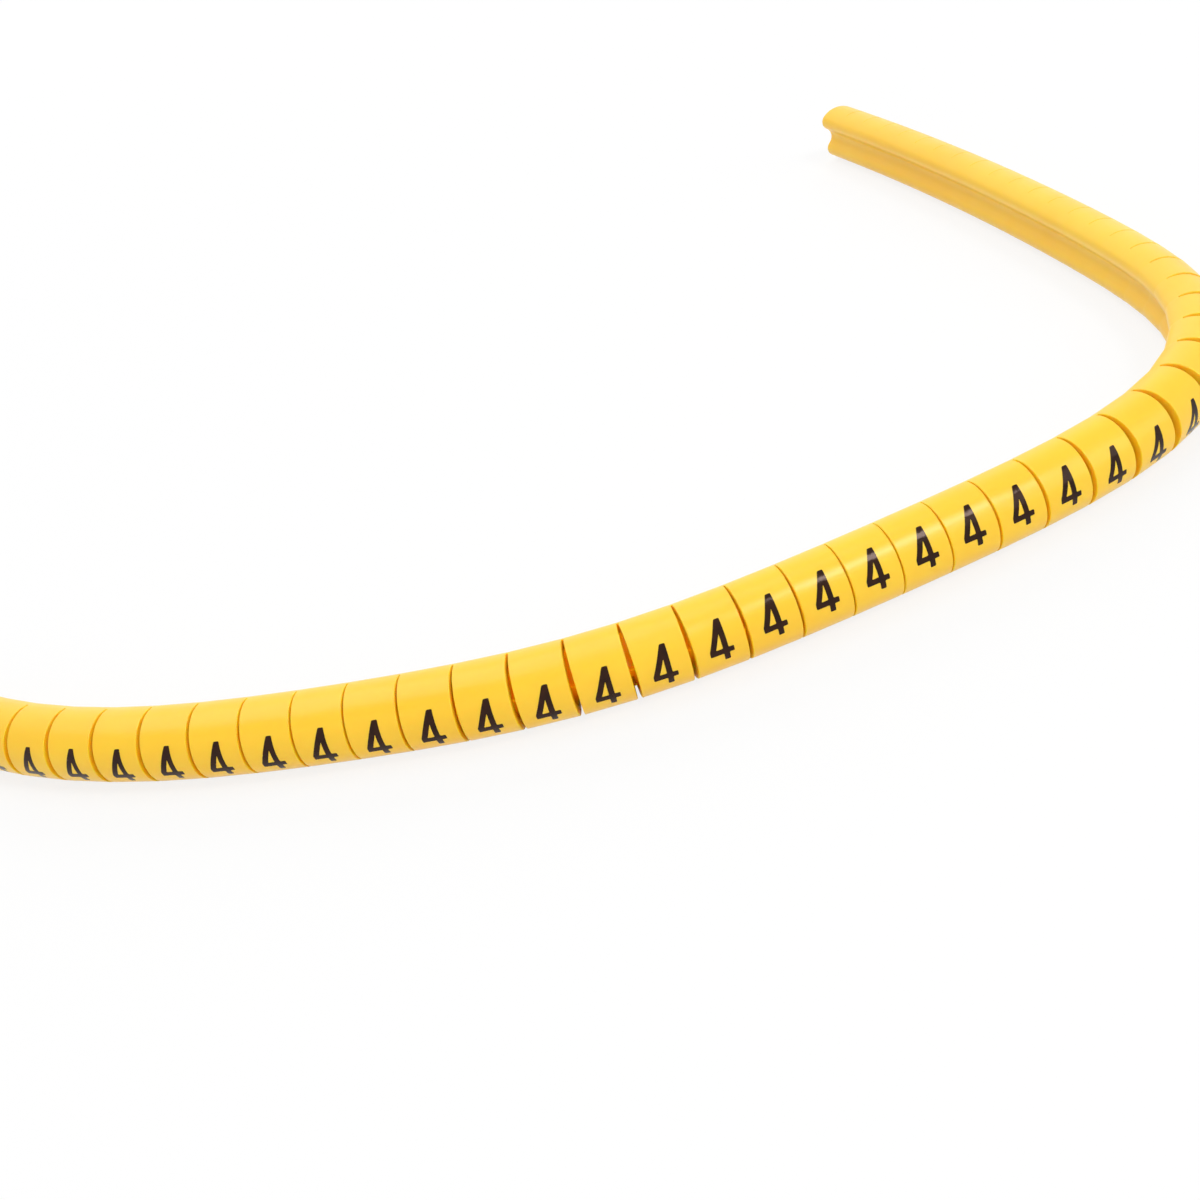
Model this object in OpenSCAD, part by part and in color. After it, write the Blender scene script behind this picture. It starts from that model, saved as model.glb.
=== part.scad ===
// Cable marker strip: one soft PVC tube, slit almost through at every marker and curled on a table.
// The slits open on the outside of the curl. The uncut back of the tube holds the markers together,
// and each one is torn off there and pushed over a wire.

/* [Tube section] */
// Outside diameter of the tube across its round crown
outer_d = 6.0; // [5:0.1:8]
// Wall thickness, the same all round
wall = 0.8; // [0.5:0.05:1]
// Radius of the two inside corners of the bore, beside the groove
bore_corner_r = 0.15; // [0.1:0.05:0.3]
// Angle from the middle of the crown to where each shoulder starts, degrees
shoulder_angle = 126; // [118:1:135]
// Depth of the groove pressed into the back of the tube
groove_depth = 0.85; // [0.6:0.05:1.1]

/* [Markers] */
// Markers in the strip
marker_count = 50; // [20:1:60]
// Length of one marker from slit to slit
marker_pitch = 4.2; // [3:0.1:6]
// Width of a slit at the back of the tube
slit_w = 0.05; // [0.03:0.01:0.2]
// Depth of a slit, measured from the crown
slit_depth = 3.9; // [3.5:0.1:4.3]

/* [Curl] */
// Direction in which the first marker points, seen from above, degrees
start_heading = -52; // [-90:1:0]
// Bend that every slit has, degrees
rest_bend = 0.5; // [0.2:0.1:2]
// Further bend of the first run where it is tightest, degrees
first_bend = 4.4; // [0:0.1:8]
// Slit at which the first run is tightest
first_slit = 3.5; // [0:0.5:8]
// Spread of the first run's bend to each side, in slits
first_spread = 3.2; // [1:0.1:6]
// Further bend in the middle of the front run, degrees
middle_bend = 4.2; // [0:0.1:8]
// Slit at which the middle of the front run is tightest
middle_slit = 14.5; // [10:0.5:20]
// Spread of the middle bend to each side, in slits
middle_spread = 2.2; // [1:0.1:6]
// Further bend of the turn into the back run, degrees
turn_bend = 11; // [0:0.1:12]
// Slit at which the turn is tightest
turn_slit = 28; // [22:0.5:34]
// Spread of the turn to each side, in slits
turn_spread = 2.8; // [1:0.1:4]

/* [Hidden] */
$fn = 64;

// How far the shoulders stand proud of the curves they round off
blend = 0.02;
// How much thinner than the wall a web is, on each side
web_inset = 0.05;
// How far a web runs into the markers it joins, at the root of the slit
web_lap = 0.08;
// A length larger than any section
beyond = 2 * outer_d;

outer_r = outer_d / 2;
shoulder_r = wall + bore_corner_r;
shoulder_x = (outer_r - shoulder_r) * cos(shoulder_angle);
shoulder_y = (outer_r - shoulder_r) * sin(shoulder_angle);
back_x = shoulder_x - shoulder_r;
slit_root_x = outer_r - slit_depth;

// The groove's circle touches both shoulders and reaches groove_depth in from the back
groove_x = (pow(shoulder_x + groove_depth, 2) - pow(outer_r - shoulder_r, 2)) / (2 * groove_depth);
groove_r = back_x + groove_depth - groove_x;

// Solid length of a marker between its two slits
marker_l = marker_pitch - slit_w;

// A slit's share of a bend that is tightest at one slit and fades to each side
function share(slit, tightest, spread) = exp(-pow((slit - tightest) / spread, 2) / 2);
function bend(slit) =
    rest_bend
    + first_bend * share(slit, first_slit, first_spread)
    + middle_bend * share(slit, middle_slit, middle_spread)
    + turn_bend * share(slit, turn_slit, turn_spread);

// Radius about which the back of the tube bends at a slit, so that its length there stays slit_w
function hinge_r(angle) = slit_w / (angle * PI / 180);
function along(heading) = [cos(heading), sin(heading)];
function inward(heading) = [-sin(heading), cos(heading)];
function hinge(place, angle) = place[0] + marker_l * along(place[1]) + hinge_r(angle) * inward(place[1]);
function next_start(place, angle) = hinge(place, angle) - hinge_r(angle) * inward(place[1] + angle);

// Start point at the back of the tube, and heading, of every marker
function chain(slit = 0, place = [[0, 0], start_heading]) =
    slit == marker_count - 1
        ? [place]
        : concat([place], chain(slit + 1, [next_start(place, bend(slit)), place[1] + bend(slit)]));
places = chain();

// Middle of the box that the strip fits in, seen from above
corners = [
    for (place = places, reach = [0, marker_l], out = [0, outer_r - back_x])
        place[0] + reach * along(place[1]) - out * inward(place[1])
];
corner_x = [for (corner = corners) corner[0]];
corner_y = [for (corner = corners) corner[1]];
middle = [min(corner_x) + max(corner_x), min(corner_y) + max(corner_y)] / 2;

// Outline of the tube with its grooved back, moved out by the amount grow; x points out of the crown
module grooved_outline(grow) {
    difference() {
        intersection() {
            circle(r = outer_r + grow);
            polygon([
                [groove_x, 0],
                [shoulder_x, shoulder_y],
                beyond * [cos(shoulder_angle), sin(shoulder_angle)],
                [beyond, beyond],
                [beyond, -beyond],
                beyond * [cos(shoulder_angle), -sin(shoulder_angle)],
                [shoulder_x, -shoulder_y]
            ]);
        }
        translate([groove_x, 0])
            circle(r = groove_r - grow);
    }
    for (side = [-1, 1])
        translate([shoulder_x, side * shoulder_y])
            circle(r = shoulder_r + grow + blend);
}

module tube_section() {
    difference() {
        grooved_outline(0);
        grooved_outline(-wall);
    }
}

// What a slit leaves of the tube: the shoulders and the bottom of the groove
module web_section() {
    intersection() {
        difference() {
            grooved_outline(-web_inset);
            grooved_outline(web_inset - wall);
        }
        translate([slit_root_x - beyond, -beyond / 2])
            square(beyond);
    }
}

// Carries a section, drawn with its crown towards +x, straight along a heading from a start point
module run_along(start, heading, length) {
    translate(concat(start - middle, outer_r))
        rotate([0, 0, heading - 90])
            rotate([-90, 0, 0])
                linear_extrude(length)
                    translate([-back_x, 0])
                        children();
}

module marker(place) {
    run_along(place[0], place[1], marker_l)
        tube_section();
}

// A web crosses its slit at the mean heading of the two markers and runs into both
module web(place, angle) {
    heading = place[1] + angle / 2;
    half_l = (hinge_r(angle) + slit_root_x - back_x) * tan(angle / 2) + web_lap;
    centre = hinge(place, angle) - hinge_r(angle) * inward(heading);
    run_along(centre - half_l * along(heading), heading, 2 * half_l)
        web_section();
}

module marker_strip() {
    color([1, 0.76, 0.12])
        union() {
            for (place = places)
                marker(place);
            for (slit = [0 : marker_count - 2])
                web(places[slit], bend(slit));
        }
}

marker_strip();
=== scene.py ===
"""The looks of a curled strip of numbered cable markers: soft yellow tube, open slits, printed digits."""

import math
import random

import bmesh
import bpy
import numpy as np
from mathutils import Matrix, Vector


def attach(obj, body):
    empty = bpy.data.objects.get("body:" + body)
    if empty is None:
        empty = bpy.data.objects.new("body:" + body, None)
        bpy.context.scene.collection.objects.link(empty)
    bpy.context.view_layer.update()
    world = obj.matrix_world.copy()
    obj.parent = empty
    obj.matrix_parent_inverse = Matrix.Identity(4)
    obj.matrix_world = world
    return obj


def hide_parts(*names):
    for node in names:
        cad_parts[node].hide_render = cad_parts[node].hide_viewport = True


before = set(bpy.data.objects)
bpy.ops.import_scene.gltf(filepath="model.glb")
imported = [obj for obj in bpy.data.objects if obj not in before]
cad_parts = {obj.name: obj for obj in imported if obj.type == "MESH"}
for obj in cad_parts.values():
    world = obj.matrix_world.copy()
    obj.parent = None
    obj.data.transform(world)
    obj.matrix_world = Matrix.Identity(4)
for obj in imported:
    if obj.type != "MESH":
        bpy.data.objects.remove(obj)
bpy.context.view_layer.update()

MM = 0.001
BODY = "root"
NODE = "marker_strip"

# Tube section, mm and degrees, as in the part
OUTER_R = 3.0
WALL = 0.8
BORE_CORNER_R = 0.15
SHOULDER_ANGLE = 126
GROOVE_DEPTH = 0.85

# Markers, mm, as in the part
MARKER_COUNT = 50
MARKER_PITCH = 4.2
SLIT_W = 0.05
SLIT_DEPTH = 3.9

# Curl, degrees, as in the part: heading of the first marker, bend of every slit, and the further bends,
# each with its size, the slit where it is tightest and its spread in slits
START_HEADING = -52
REST_BEND = 0.5
FIRST_BEND = (4.4, 3.5, 3.2)
MIDDLE_BEND = (4.2, 14.5, 2.2)
TURN_BEND = (11, 28, 2.8)

# Section values that follow from those
SHOULDER_R = WALL + BORE_CORNER_R
SHOULDER_X = (OUTER_R - SHOULDER_R) * math.cos(math.radians(SHOULDER_ANGLE))
SHOULDER_Y = (OUTER_R - SHOULDER_R) * math.sin(math.radians(SHOULDER_ANGLE))
BACK_X = SHOULDER_X - SHOULDER_R
SLIT_ROOT_X = OUTER_R - SLIT_DEPTH
GROOVE_X = ((SHOULDER_X + GROOVE_DEPTH) ** 2 - (OUTER_R - SHOULDER_R) ** 2) / (2 * GROOVE_DEPTH)
GROOVE_R = BACK_X + GROOVE_DEPTH - GROOVE_X
MARKER_L = MARKER_PITCH - SLIT_W

# Cut edges of a marker, mm: radius of the soft edge, its steps, how far from the slit's root it reaches
# full size, and the plain ring that holds the surface straight beside it
EDGE_R = 0.06
EDGE_STEPS = 3
EDGE_FADE = 0.7
EDGE_HOLD = 0.06

# Facets of the section: over the crown between the slit's two roots, and round the back
CROWN_FACETS = 60
CREST_FACETS = 3
SHOULDER_FACETS = 8
GROOVE_FACETS = 10

# Edges that turn by more than this, in degrees, are shaded as sharp
STRIP_SHARP = 35
INK_SHARP = 40

# Printed digit, mm: a narrow four with a closed counter
DIGIT_W = 1.92
DIGIT_H = 3.45
DIGIT_STROKE = 0.45
DIGIT_STEM_X = 0.32
DIGIT_BAR_Y = -0.87
DIGIT_TOP_W = 0.43
DIGIT_CORNER_R = 0.09
DIGIT_CORNER_STEPS = 3

# Layer of ink, mm and degrees: its top and bottom from the skin, the step at which it follows the crown,
# how near to a step a point counts as on it, and how far a digit may be off its place and its line
INK_TOP = 0.012
INK_BOTTOM = -0.03
INK_STEP = 0.14
INK_STEP_MERGE = 1e-6
PRINT_SHIFT = 0.05
PRINT_TURN = 1.2

# Line of print round the tube, degrees: where it starts, and its turns, each with its size,
# the marker in its middle and its spread in markers
PRINT_ANGLE = -4
PRINT_WINDINGS = ((29, 16.6, 1.9), (-38, 24.8, 1.8), (14, 35, 3))

random.seed(4)


def along(heading):
    """Unit vector in which a marker runs, seen from above."""
    return np.array([math.cos(math.radians(heading)), math.sin(math.radians(heading))])


def outward(heading):
    """Unit vector out of a marker's crown, seen from above."""
    return np.array([math.sin(math.radians(heading)), -math.cos(math.radians(heading))])


def bend(slit):
    """Angle in degrees between the markers on both sides of a slit."""
    return REST_BEND + sum(
        size * math.exp(-(((slit - tightest) / spread) ** 2) / 2)
        for size, tightest, spread in (FIRST_BEND, MIDDLE_BEND, TURN_BEND)
    )


def hinge(start, heading, angle):
    """Point about which the next marker is turned."""
    hinge_r = SLIT_W / math.radians(angle)
    return start + MARKER_L * along(heading) - hinge_r * outward(heading)


def turned(point, centre, angle):
    """A point, or rows of points, turned about a centre, seen from above."""
    cos, sin = math.cos(math.radians(angle)), math.sin(math.radians(angle))
    return (point - centre) @ np.array([[cos, sin], [-sin, cos]]) + centre


def chain():
    """Start point at the back of the tube and heading of every marker, about the middle of the box."""
    places = [(np.zeros(2), START_HEADING)]
    for slit in range(MARKER_COUNT - 1):
        start, heading = places[-1]
        angle = bend(slit)
        end = start + MARKER_L * along(heading)
        places.append((turned(end, hinge(start, heading, angle), angle), heading + angle))
    corners = np.array([
        start + reach * along(heading) + out * outward(heading)
        for start, heading in places
        for reach in (0, MARKER_L)
        for out in (0, OUTER_R - BACK_X)
    ])
    middle = (corners.min(0) + corners.max(0)) / 2
    return [(start - middle, heading) for start, heading in places]


def arc(centre, radius, first, last, facets):
    """Points of an arc without its last one; angles in degrees."""
    angles = np.radians(np.linspace(first, last, facets, endpoint=False))
    return np.stack([centre[0] + radius * np.cos(angles), centre[1] + radius * np.sin(angles)], axis=1)


def section(inset):
    """Outline of the tube moved in by an amount, from the slit's upper root over the crown and round."""
    crown_r = OUTER_R - inset
    root = math.degrees(math.acos(SLIT_ROOT_X / crown_r))
    groove = math.degrees(math.atan2(SHOULDER_Y, GROOVE_X - SHOULDER_X))
    shoulder_r = SHOULDER_R - inset
    return np.concatenate([
        arc((0, 0), crown_r, root, -root, CROWN_FACETS),
        arc((0, 0), crown_r, -root, -SHOULDER_ANGLE, CREST_FACETS),
        arc((SHOULDER_X, -SHOULDER_Y), shoulder_r, -SHOULDER_ANGLE, groove - 360, SHOULDER_FACETS),
        arc((GROOVE_X, 0), GROOVE_R + inset, groove - 180, 180 - groove, GROOVE_FACETS),
        arc((SHOULDER_X, SHOULDER_Y), shoulder_r, 360 - groove, SHOULDER_ANGLE, SHOULDER_FACETS),
        arc((0, 0), crown_r, SHOULDER_ANGLE, root, CREST_FACETS),
    ])


def placed(outline, place, reach):
    """Points of a section outline in space, at a distance along a marker."""
    start, heading = place
    flat = start + reach * along(heading) + (outline[:, :1] - BACK_X) * outward(heading)
    return np.hstack([flat, OUTER_R + outline[:, 1:]])


def edge_rings():
    """Distance from the end and inset of the rings that round a cut edge, from the cut face inwards."""
    turns = [math.radians(90 * step / EDGE_STEPS) for step in range(EDGE_STEPS + 1)]
    rings = [(EDGE_R * (1 - math.cos(turn)), EDGE_R * (1 - math.sin(turn))) for turn in turns]
    return rings + [(EDGE_R + EDGE_HOLD, 0)]


def eased(outline, inset):
    """An outline whose crown is moved in by an amount that fades out towards the slit's root."""
    fade = np.clip((outline[:, :1] - SLIT_ROOT_X) / EDGE_FADE, 0, 1)
    radius = np.linalg.norm(outline, axis=1, keepdims=True)
    crown = (np.arange(len(outline)) <= CROWN_FACETS)[:, None]
    return np.where(crown, outline * (1 - inset * fade / radius), outline)


# Kinds of faces, in the order of the strip's materials
SKIN, CUT, BORE = range(3)


class Grid:
    """Rings of points and the faces between them, gathered into one mesh."""

    def __init__(self):
        self.points = []
        self.faces = []
        self.kinds = []
        self.extruded = []
        self.count = 0

    def ring(self, points, outline, distance):
        """Adds a ring, with its place in the section and along the tube; returns its points' numbers."""
        first = self.count
        self.points.append(points)
        self.extruded.append(np.hstack([outline, np.full((len(points), 1), distance)]))
        self.count += len(points)
        return list(range(first, self.count))

    def quads(self, one, two, kind, flip=False):
        """Faces between two rows of points."""
        for a, b, c, d in zip(one[:-1], one[1:], two[1:], two[:-1]):
            self.faces.append((d, c, b, a) if flip else (a, b, c, d))
            self.kinds.append(kind)


def picked(ring, order):
    """Some points of a ring, in an order."""
    return [ring[i] for i in order]


def build_strip(places):
    """One closed mesh: the markers with their soft cut edges, and the uncut back that runs through them."""
    outlines = section(0), section(WALL)
    outer, inner = outlines
    sides = len(outer)
    front = list(range(CROWN_FACETS + 1))
    back = list(range(CROWN_FACETS, sides)) + [0]
    whole = list(range(sides)) + [0]
    rings = edge_rings()
    reaches = rings + [(MARKER_L - reach, inset) for reach, inset in reversed(rings)]
    grid = Grid()
    before = None
    for number, place in enumerate(places):
        travelled = number * MARKER_PITCH
        skin = [
            grid.ring(placed(eased(outer, inset), place, reach), outer, travelled + reach)
            for reach, inset in reaches
        ]
        bore = [
            grid.ring(placed(inner, place, reach), inner, travelled + reach)
            for reach in (0, MARKER_L)
        ]
        for step, (one, two) in enumerate(zip(skin[:-1], skin[1:])):
            soft_edge = min(step, len(skin) - 2 - step) < EDGE_STEPS
            grid.quads(picked(one, front), picked(two, front), CUT if soft_edge else SKIN)
            grid.quads(picked(one, back), picked(two, back), SKIN)
        grid.quads(picked(bore[0], whole), picked(bore[1], whole), BORE, flip=True)
        first_cut = whole if number == 0 else front
        last_cut = whole if number == len(places) - 1 else front
        grid.quads(picked(skin[0], first_cut), picked(bore[0], first_cut), CUT, flip=True)
        grid.quads(picked(skin[-1], last_cut), picked(bore[1], last_cut), CUT)
        if before is not None:
            join_markers(grid, before, (skin[0], bore[0]), places[number - 1], number - 1, outlines, back)
        before = skin[-1], bore[1]
    return grid


def join_markers(grid, before, after, place, slit, outlines, back):
    """Runs the uncut back from a marker to the next, bent about the hinge, and closes the slit's floor."""
    angle = bend(slit)
    centre = hinge(*place, angle)
    half = []
    for outline in outlines:
        ring = placed(outline, place, MARKER_L)
        ring[:, :2] = turned(ring[:, :2], centre, angle / 2)
        half.append(grid.ring(ring[back], outline[back], (slit + 1) * MARKER_PITCH))
    for side, kind in enumerate((SKIN, BORE)):
        grid.quads(picked(before[side], back), half[side], kind, flip=kind == BORE)
        grid.quads(half[side], picked(after[side], back), kind, flip=kind == BORE)
    for end, root in ((-1, 0), (0, CROWN_FACETS)):
        outside = [before[0][root], half[0][end], after[0][root]]
        inside = [before[1][root], half[1][end], after[1][root]]
        grid.quads(outside, inside, CUT, flip=root == 0)


def mesh_object(name, points, faces, kinds, materials):
    """A mesh object in metres from points in millimetres."""
    mesh = bpy.data.meshes.new(name)
    mesh.from_pydata((np.asarray(points) * MM).tolist(), [], faces)
    for material in materials:
        mesh.materials.append(material)
    mesh.polygons.foreach_set("material_index", kinds)
    mesh.update()
    thing = bpy.data.objects.new(name, mesh)
    bpy.context.scene.collection.objects.link(thing)
    return thing


def smooth(thing, sharp_angle):
    """Smooth shading with sharp edges where the faces turn by more than an angle in degrees."""
    thing.data.polygons.foreach_set("use_smooth", [True] * len(thing.data.polygons))
    thing.data.set_sharp_from_angle(angle=math.radians(sharp_angle))


def make_strip(places, materials):
    """The strip as one object, without loose points and with its faces outwards."""
    grid = build_strip(places)
    strip = mesh_object("marker_strip_tube", np.concatenate(grid.points), grid.faces, grid.kinds, materials)
    extruded = strip.data.attributes.new("extruded", "FLOAT_VECTOR", "POINT")
    extruded.data.foreach_set("vector", np.concatenate(grid.extruded).astype(np.float32).ravel())
    shell = bmesh.new()
    shell.from_mesh(strip.data)
    loose = [vert for vert in shell.verts if not vert.link_faces]
    bmesh.ops.delete(shell, geom=loose, context="VERTS")
    bmesh.ops.recalc_face_normals(shell, faces=shell.faces)
    shell.to_mesh(strip.data)
    shell.free()
    smooth(strip, STRIP_SHARP)
    return strip


def rounded(corners):
    """A closed outline with its corners rounded, each over a third of its sides at most."""
    points = []
    for i, corner in enumerate(corners):
        corner = np.array(corner, float)
        to_last = np.array(corners[i - 1], float) - corner
        to_next = np.array(corners[(i + 1) % len(corners)], float) - corner
        reach = min(DIGIT_CORNER_R, np.linalg.norm(to_last) / 3, np.linalg.norm(to_next) / 3)
        first = corner + to_last / np.linalg.norm(to_last) * reach
        last = corner + to_next / np.linalg.norm(to_next) * reach
        for step in range(DIGIT_CORNER_STEPS + 1):
            t = step / DIGIT_CORNER_STEPS
            points.append((1 - t) ** 2 * first + 2 * t * (1 - t) * corner + t * t * last)
    return points


def digit_outlines():
    """Outline and counter of the four, about the middle of its box: x along the strip, y up."""
    left, right = -DIGIT_W / 2, DIGIT_W / 2
    top, bottom = DIGIT_H / 2, -DIGIT_H / 2
    half = DIGIT_STROKE / 2
    stem_left, stem_right = DIGIT_STEM_X - half, DIGIT_STEM_X + half
    bar_top, bar_bottom = DIGIT_BAR_Y + half, DIGIT_BAR_Y - half
    apex_left = stem_right - DIGIT_TOP_W
    outline = [
        (left, bar_bottom), (stem_left, bar_bottom), (stem_left, bottom), (stem_right, bottom),
        (stem_right, bar_bottom), (right, bar_bottom), (right, bar_top), (stem_right, bar_top),
        (stem_right, top), (apex_left, top), (left, bar_top),
    ]
    slope = (top - bar_top) / (apex_left - left)
    lean = DIGIT_STROKE * math.hypot(1, slope) / slope
    counter_left = left + lean
    counter_top = bar_top + slope * (stem_left - counter_left)
    counter = [(counter_left, bar_top), (stem_left, counter_top), (stem_left, bar_top)]
    return rounded(outline), rounded(counter)


def flat_digit():
    """Points, faces and border of the flat digit, cut across at every step to follow the crown."""
    flat = bmesh.new()
    for outline in digit_outlines():
        verts = [flat.verts.new((x, y, 0)) for x, y in outline]
        for i, vert in enumerate(verts):
            flat.edges.new((verts[i - 1], vert))
    bmesh.ops.triangle_fill(flat, use_beauty=True, use_dissolve=False, edges=flat.edges)
    steps = int(DIGIT_H / INK_STEP)
    for step in range(1, steps):
        level = -DIGIT_H / 2 + DIGIT_H * step / steps
        bmesh.ops.bisect_plane(
            flat,
            geom=flat.verts[:] + flat.edges[:] + flat.faces[:],
            plane_co=(0, level, 0),
            plane_no=(0, 1, 0),
            dist=INK_STEP_MERGE,
        )
    bmesh.ops.recalc_face_normals(flat, faces=flat.faces)
    if sum(face.normal.z for face in flat.faces) < 0:
        bmesh.ops.reverse_faces(flat, faces=flat.faces)
    flat.verts.index_update()
    points = np.array([vert.co[:2] for vert in flat.verts])
    faces = [[vert.index for vert in face.verts] for face in flat.faces]
    border = []
    for edge in flat.edges:
        if len(edge.link_faces) == 1:
            loop = edge.link_loops[0]
            border.append((loop.vert.index, loop.link_loop_next.vert.index))
    flat.free()
    return points, faces, border


def print_angle(number):
    """Angle in degrees from the middle of a marker's crown to the middle of its digit."""
    return PRINT_ANGLE + sum(
        size * (1 + math.tanh((number - middle) / spread)) / 2 for size, middle, spread in PRINT_WINDINGS
    )


def print_digits(places, material):
    """One thin closed layer of ink on the crown of every marker."""
    flat, flat_faces, border = flat_digit()
    points, faces = [], []
    for number, (start, heading) in enumerate(places):
        turn = math.radians(random.uniform(-PRINT_TURN, PRINT_TURN))
        shift = np.array([random.uniform(-PRINT_SHIFT, PRINT_SHIFT) for _ in range(2)])
        spin = np.array([[math.cos(turn), math.sin(turn)], [-math.sin(turn), math.cos(turn)]])
        spot = flat @ spin + shift
        angle = math.radians(print_angle(number)) + spot[:, 1] / OUTER_R
        first = len(points) * len(flat)
        for height in (INK_TOP, INK_BOTTOM):
            radius = OUTER_R + height
            out = radius * np.cos(angle) - BACK_X
            ground = start + (MARKER_L / 2 + spot[:, :1]) * along(heading) + out[:, None] * outward(heading)
            points.append(np.hstack([ground, (OUTER_R + radius * np.sin(angle))[:, None]]))
        under = first + len(flat)
        faces += [[first + i for i in face] for face in flat_faces]
        faces += [[under + i for i in reversed(face)] for face in flat_faces]
        faces += [[first + b, first + a, under + a, under + b] for a, b in border]
    digits = mesh_object("printed_digits", np.concatenate(points), faces, [0] * len(faces), [material])
    smooth(digits, INK_SHARP)
    return digits


class Nodes:
    """Short way to write the node tree of a material or a world."""

    def __init__(self, owner):
        self.owner = owner
        self.owner.use_nodes = True
        self.tree = owner.node_tree
        self.tree.nodes.clear()

    def put(self, socket, value):
        """Sets an input socket, or links it where the value is another node's output."""
        if isinstance(value, bpy.types.NodeSocket):
            self.tree.links.new(value, socket)
        else:
            socket.default_value = value

    def add(self, kind, **sockets):
        """A node with its input sockets set by name."""
        node = self.tree.nodes.new("ShaderNode" + kind)
        for name, value in sockets.items():
            self.put(node.inputs[name.replace("_", " ")], value)
        return node

    def maths(self, operation, one, two):
        """Result of an operation on two numbers."""
        node = self.tree.nodes.new("ShaderNodeMath")
        node.operation = operation
        self.put(node.inputs[0], one)
        self.put(node.inputs[1], two)
        return node.outputs[0]

    def noise(self, scale, detail, place):
        """Soft noise from 0 to 1; the scale is per unit of the place."""
        node = self.add("TexNoise", Scale=scale, Detail=detail, Roughness=NOISE_ROUGHNESS, Vector=place)
        return node.outputs["Fac"]

    def ramp(self, factor, low, high, start, end):
        """Colour that goes from low to high while a factor goes from start to end."""
        node = self.add("ValToRGB", Fac=factor)
        for element, position, colour in zip(node.color_ramp.elements, (start, end), (low, high)):
            element.position = position
            element.color = (*colour, 1)
        return node.outputs["Color"]

    def range(self, factor, low, high, start=0.0, end=1.0):
        """Number that goes from low to high while a factor goes from start to end."""
        node = self.add("MapRange", Value=factor, From_Min=start, From_Max=end, To_Min=low, To_Max=high)
        return node.outputs["Result"]

    def bump(self, height, relief, strength=1.0, **below):
        """Normal of a surface with a relief in mm, on top of the normal below if there is one."""
        node = self.add("Bump", Height=height, Distance=relief * MM, Strength=strength, **below)
        return node.outputs["Normal"]

    def seen(self):
        """One where a ray comes straight from the camera, over a mirror or through glass, else nought."""
        path = self.add("LightPath")
        level = path.outputs["Is Camera Ray"]
        for name in ("Is Glossy Ray", "Is Transmission Ray"):
            level = self.maths("MAXIMUM", level, path.outputs[name])
        return level

    def finish(self, shader, output="OutputMaterial"):
        """The material or world, with its surface linked."""
        self.add(output, Surface=shader)
        return self.owner


# In the values of the materials, a colour is a pair from dark to light, a noise is its scale per metre
# and its detail, a relief is in mm and a roughness is a range
NOISE_ROUGHNESS = 0.55
PVC_TONE_SPAN = (0.3, 0.7)
PVC_IOR = 1.5

# Skin of the tube; the die's lines have their fineness per mm round the tube, and a stretch along it
SKIN_COLOURS = ((0.985, 0.565, 0.020), (0.99, 0.62, 0.028))
SKIN_TONES = (55, 3)
SKIN_WAVES = (230, 1)
SKIN_WAVE_RELIEF = 0.12
SKIN_PEEL = (1500, 2)
SKIN_PEEL_RELIEF = 0.003
SKIN_ROUGHNESS = (0.30, 0.36)
DIE_LINES = (5, 2)
DIE_STRETCH = 0.03

# Faces that the blade left, and the soft cut edges: the PVC's colour, made a little more orange than the
# skin as a painted glow of the light inside the slits
CUT_COLOURS_WITH_PAINTED_GLOW = ((0.99, 0.54, 0.015), (0.99, 0.60, 0.02))
CUT_TONES = (900, 3)
CUT_SCRATCHES = (2600, 3)
CUT_RELIEF = 0.03
CUT_RELIEF_STRENGTH = 0.6
CUT_ROUGHNESS = (0.42, 0.6)

# Inside of the tube
BORE_COLOURS = ((0.99, 0.57, 0.010), (0.99, 0.62, 0.014))
BORE_TONES = (300, 3)
BORE_RIPPLE = (700, 2)
BORE_RELIEF = 0.02
BORE_RELIEF_STRENGTH = 0.5
BORE_ROUGHNESS = (0.34, 0.48)

# Share of the light that wanders through the soft PVC, and how far, in mm, in red, green and blue:
# red goes the furthest, so that thin walls glow orange
SKIN_SCATTER = 0.3
SKIN_DEPTH = (0.4, 0.2, 0.03)
CUT_SCATTER = 1.0
CUT_DEPTH = (0.6, 0.3, 0.04)
BORE_SCATTER = 1.0
BORE_DEPTH = (8, 2.0, 0.12)

# Ink
INK_COLOURS = ((0.012, 0.003, 0.001), (0.030, 0.008, 0.002))
INK_TONES = (1400, 4)
INK_TONE_SPAN = (0.35, 0.75)
INK_GLOSS = (1100, 3)
INK_ROUGHNESS = (0.1, 0.16)
INK_GRAIN = (1900, 3)
INK_RELIEF = 0.02
INK_RELIEF_STRENGTH = 0.5
INK_SPECULAR = 0.25
INK_SPECULAR_TINT = (1, 0.75, 0.65, 1)


def soft_pvc(n, colour, roughness, normal, scatter, depth):
    """Finished material of soft PVC."""
    shader = n.add(
        "BsdfPrincipled",
        Base_Color=colour,
        Roughness=roughness,
        Normal=normal,
        IOR=PVC_IOR,
        Subsurface_Weight=scatter,
        Subsurface_Radius=depth,
        Subsurface_Scale=MM,
    )
    return n.finish(shader.outputs["BSDF"])


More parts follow.
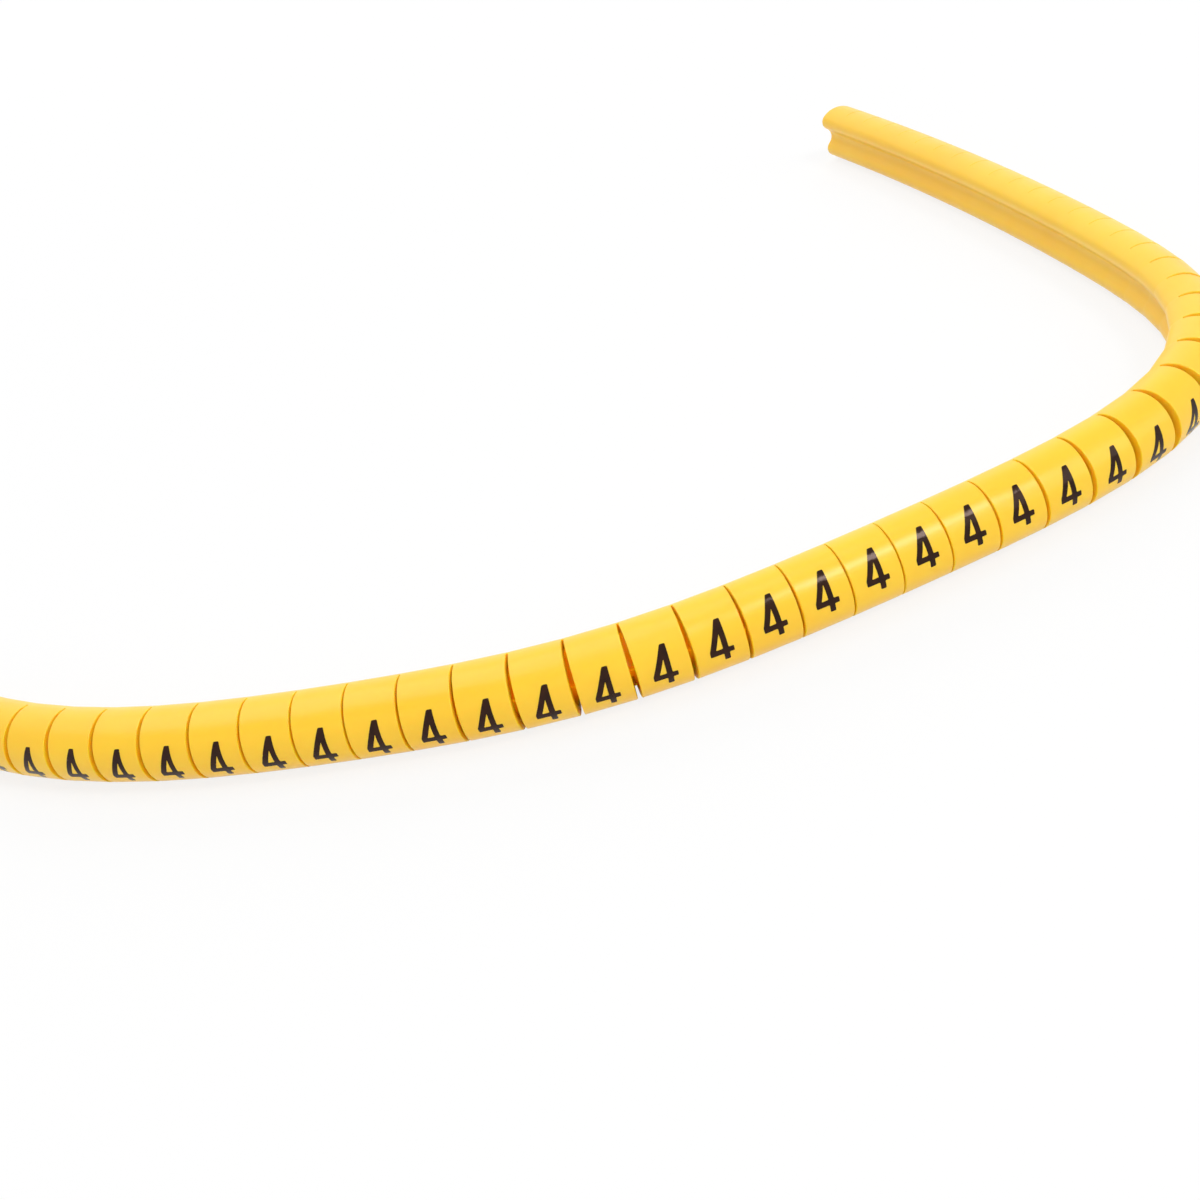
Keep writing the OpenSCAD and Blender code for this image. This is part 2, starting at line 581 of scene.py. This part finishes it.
def pvc_skin():
    """Glossy extruded skin: slow changes of tone, fine lines along the tube and a faint orange peel."""
    n = Nodes(bpy.data.materials.new("yellow_pvc_skin"))
    place = n.add("TexCoord").outputs["Object"]
    extruded = n.add("Attribute")
    extruded.attribute_name = "extruded"
    drawn = n.add("Mapping", Vector=extruded.outputs["Vector"], Scale=(1, 1, DIE_STRETCH)).outputs["Vector"]
    lines = n.noise(*DIE_LINES, drawn)
    colour = n.ramp(n.noise(*SKIN_TONES, place), *SKIN_COLOURS, *PVC_TONE_SPAN)
    waves = n.bump(n.noise(*SKIN_WAVES, place), SKIN_WAVE_RELIEF)
    fine = n.maths("ADD", lines, n.noise(*SKIN_PEEL, place))
    normal = n.bump(fine, SKIN_PEEL_RELIEF, Normal=waves)
    return soft_pvc(n, colour, n.range(lines, *SKIN_ROUGHNESS), normal, SKIN_SCATTER, SKIN_DEPTH)


def pvc_cut():
    """Duller faces that the blade left, with fine scratches; their colour is a little more orange than the
    skin's, a painted glow of the light inside the slits.
    """
    n = Nodes(bpy.data.materials.new("yellow_pvc_cut"))
    place = n.add("TexCoord").outputs["Object"]
    scratches = n.noise(*CUT_SCRATCHES, place)
    # Cut colour: the PVC's own tone, shifted to orange as a painted glow of the slits
    colour = n.ramp(n.noise(*CUT_TONES, place), *CUT_COLOURS_WITH_PAINTED_GLOW, *PVC_TONE_SPAN)
    normal = n.bump(scratches, CUT_RELIEF, CUT_RELIEF_STRENGTH)
    return soft_pvc(n, colour, n.range(scratches, *CUT_ROUGHNESS), normal, CUT_SCATTER, CUT_DEPTH)


def pvc_bore():
    """Inside of the tube, satin."""
    n = Nodes(bpy.data.materials.new("yellow_pvc_bore"))
    place = n.add("TexCoord").outputs["Object"]
    ripple = n.noise(*BORE_RIPPLE, place)
    colour = n.ramp(n.noise(*BORE_TONES, place), *BORE_COLOURS, *PVC_TONE_SPAN)
    normal = n.bump(ripple, BORE_RELIEF, BORE_RELIEF_STRENGTH)
    return soft_pvc(n, colour, n.range(ripple, *BORE_ROUGHNESS), normal, BORE_SCATTER, BORE_DEPTH)


def black_ink():
    """Glossy ink, brownish where it is thin."""
    n = Nodes(bpy.data.materials.new("black_ink"))
    place = n.add("TexCoord").outputs["Object"]
    shader = n.add(
        "BsdfPrincipled",
        Base_Color=n.ramp(n.noise(*INK_TONES, place), *INK_COLOURS, *INK_TONE_SPAN),
        Roughness=n.range(n.noise(*INK_GLOSS, place), *INK_ROUGHNESS),
        Normal=n.bump(n.noise(*INK_GRAIN, place), INK_RELIEF, INK_RELIEF_STRENGTH),
        Specular_IOR_Level=INK_SPECULAR,
        Specular_Tint=INK_SPECULAR_TINT,
    )
    return n.finish(shader.outputs["BSDF"])


# Camera, from the photo's view of the strip: mm, degrees, pixels of a 1200 pixel frame
CAMERA_FOCAL_PX = 2000
FRAME_PX = 1200
SENSOR = 36
CAMERA_ELEVATION = 28.79
CAMERA_ROLL = -16.97
CAMERA_DISTANCE = 159.9
CAMERA_TARGET = (0.91, -41.66, 3.0)

# Nearest and furthest that the camera sees, metres
CAMERA_CLIP = (0.01, 20)


def make_camera():
    """Camera that looks at the middle of the front run."""
    data = bpy.data.cameras.new("camera")
    data.sensor_width = SENSOR
    data.lens = SENSOR * CAMERA_FOCAL_PX / FRAME_PX
    data.clip_start, data.clip_end = CAMERA_CLIP
    camera = bpy.data.objects.new("camera", data)
    elevation = math.radians(CAMERA_ELEVATION)
    away = Vector((0, -math.cos(elevation), math.sin(elevation)))
    level = away.to_track_quat("Z", "Y").to_matrix()
    camera.matrix_world = (
        Matrix.Translation((Vector(CAMERA_TARGET) + away * CAMERA_DISTANCE) * MM)
        @ (level @ Matrix.Rotation(math.radians(CAMERA_ROLL), 3, "Z")).to_4x4()
    )
    bpy.context.scene.collection.objects.link(camera)
    bpy.context.scene.camera = camera


# Stage, metres: size of the floor, its grey level, how much of it looks plain white near the strip,
# between which distances that grows to all of it, and the light of the world
FLOOR_SIZE = 6.0
FLOOR_GREY = 0.86
FLOOR_LIFT = 0.82
FLOOR_NEAR = 0.4
FLOOR_FAR = 1.4
WORLD_LIGHT = 0.28
WHITE = (1, 1, 1, 1)

# Soft boxes, metres and watts: name, place, point looked at, size, power, and whether it leaves
# a highlight
SOFT_BOXES = (
    ("overhead_box", (-0.3, 0.2, 1.3), (0, -0.03, 0), (1.2, 1.3), 7.6, True),
    ("key_box", (0.479, -0.518, 0.796), (0.02, -0.05, 0), (0.28, 0.24), 3.0, True),
    ("front_box", (-0.4, -1.1, 0.5), (0, -0.04, 0), (1.6, 0.6), 4.6, False),
    ("side_box", (0.9, -0.55, 0.45), (0.05, -0.03, 0), (0.7, 0.6), 2.0, True),
    ("back_box", (0.1, 1.1, 0.6), (0, -0.04, 0), (1.6, 0.8), 10, False),
)


def make_floor():
    """Pale floor that looks near white, keeps a soft shadow and turns plain white in the distance."""
    n = Nodes(bpy.data.materials.new("pale_floor"))
    far = n.add("VectorMath", Vector=n.add("TexCoord").outputs["Object"])
    far.operation = "LENGTH"
    white_share = n.range(far.outputs["Value"], FLOOR_LIFT, 1.0, FLOOR_NEAR, FLOOR_FAR)
    mixed = n.add("MixShader", Fac=n.maths("MULTIPLY", n.seen(), white_share))
    matt = n.add("BsdfDiffuse", Color=(FLOOR_GREY, FLOOR_GREY, FLOOR_GREY, 1))
    white = n.add("Emission", Color=WHITE, Strength=1.0)
    n.put(mixed.inputs[1], matt.outputs[0])
    n.put(mixed.inputs[2], white.outputs[0])
    half = FLOOR_SIZE / 2
    corners = [(-half, -half, 0), (half, -half, 0), (half, half, 0), (-half, half, 0)]
    mesh = bpy.data.meshes.new("floor")
    mesh.from_pydata(corners, [], [(0, 1, 2, 3)])
    mesh.materials.append(n.finish(mixed.outputs[0]))
    floor = bpy.data.objects.new("floor", mesh)
    bpy.context.scene.collection.objects.link(floor)


def make_world():
    """Even light from all round, which looks white."""
    n = Nodes(bpy.data.worlds.new("studio"))
    background = n.add("Background", Color=WHITE, Strength=n.range(n.seen(), WORLD_LIGHT, 1.0))
    bpy.context.scene.world = n.finish(background.outputs[0], "OutputWorld")


def make_light(name, place, target, size, power, highlight):
    """A soft box that looks at a point."""
    data = bpy.data.lights.new(name, "AREA")
    data.shape = "RECTANGLE"
    data.size, data.size_y = size
    data.energy = power
    light = bpy.data.objects.new(name, data)
    light.location = place
    light.rotation_euler = (Vector(target) - Vector(place)).to_track_quat("-Z", "Y").to_euler()
    light.visible_glossy = highlight
    bpy.context.scene.collection.objects.link(light)


bpy.context.scene.view_settings.view_transform = "Standard"
make_camera()
make_world()
make_floor()
for box in SOFT_BOXES:
    make_light(*box)

places = chain()
strip = make_strip(places, [pvc_skin(), pvc_cut(), pvc_bore()])
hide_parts(NODE)
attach(strip, BODY)

digits = print_digits(places, black_ink())
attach(digits, BODY)
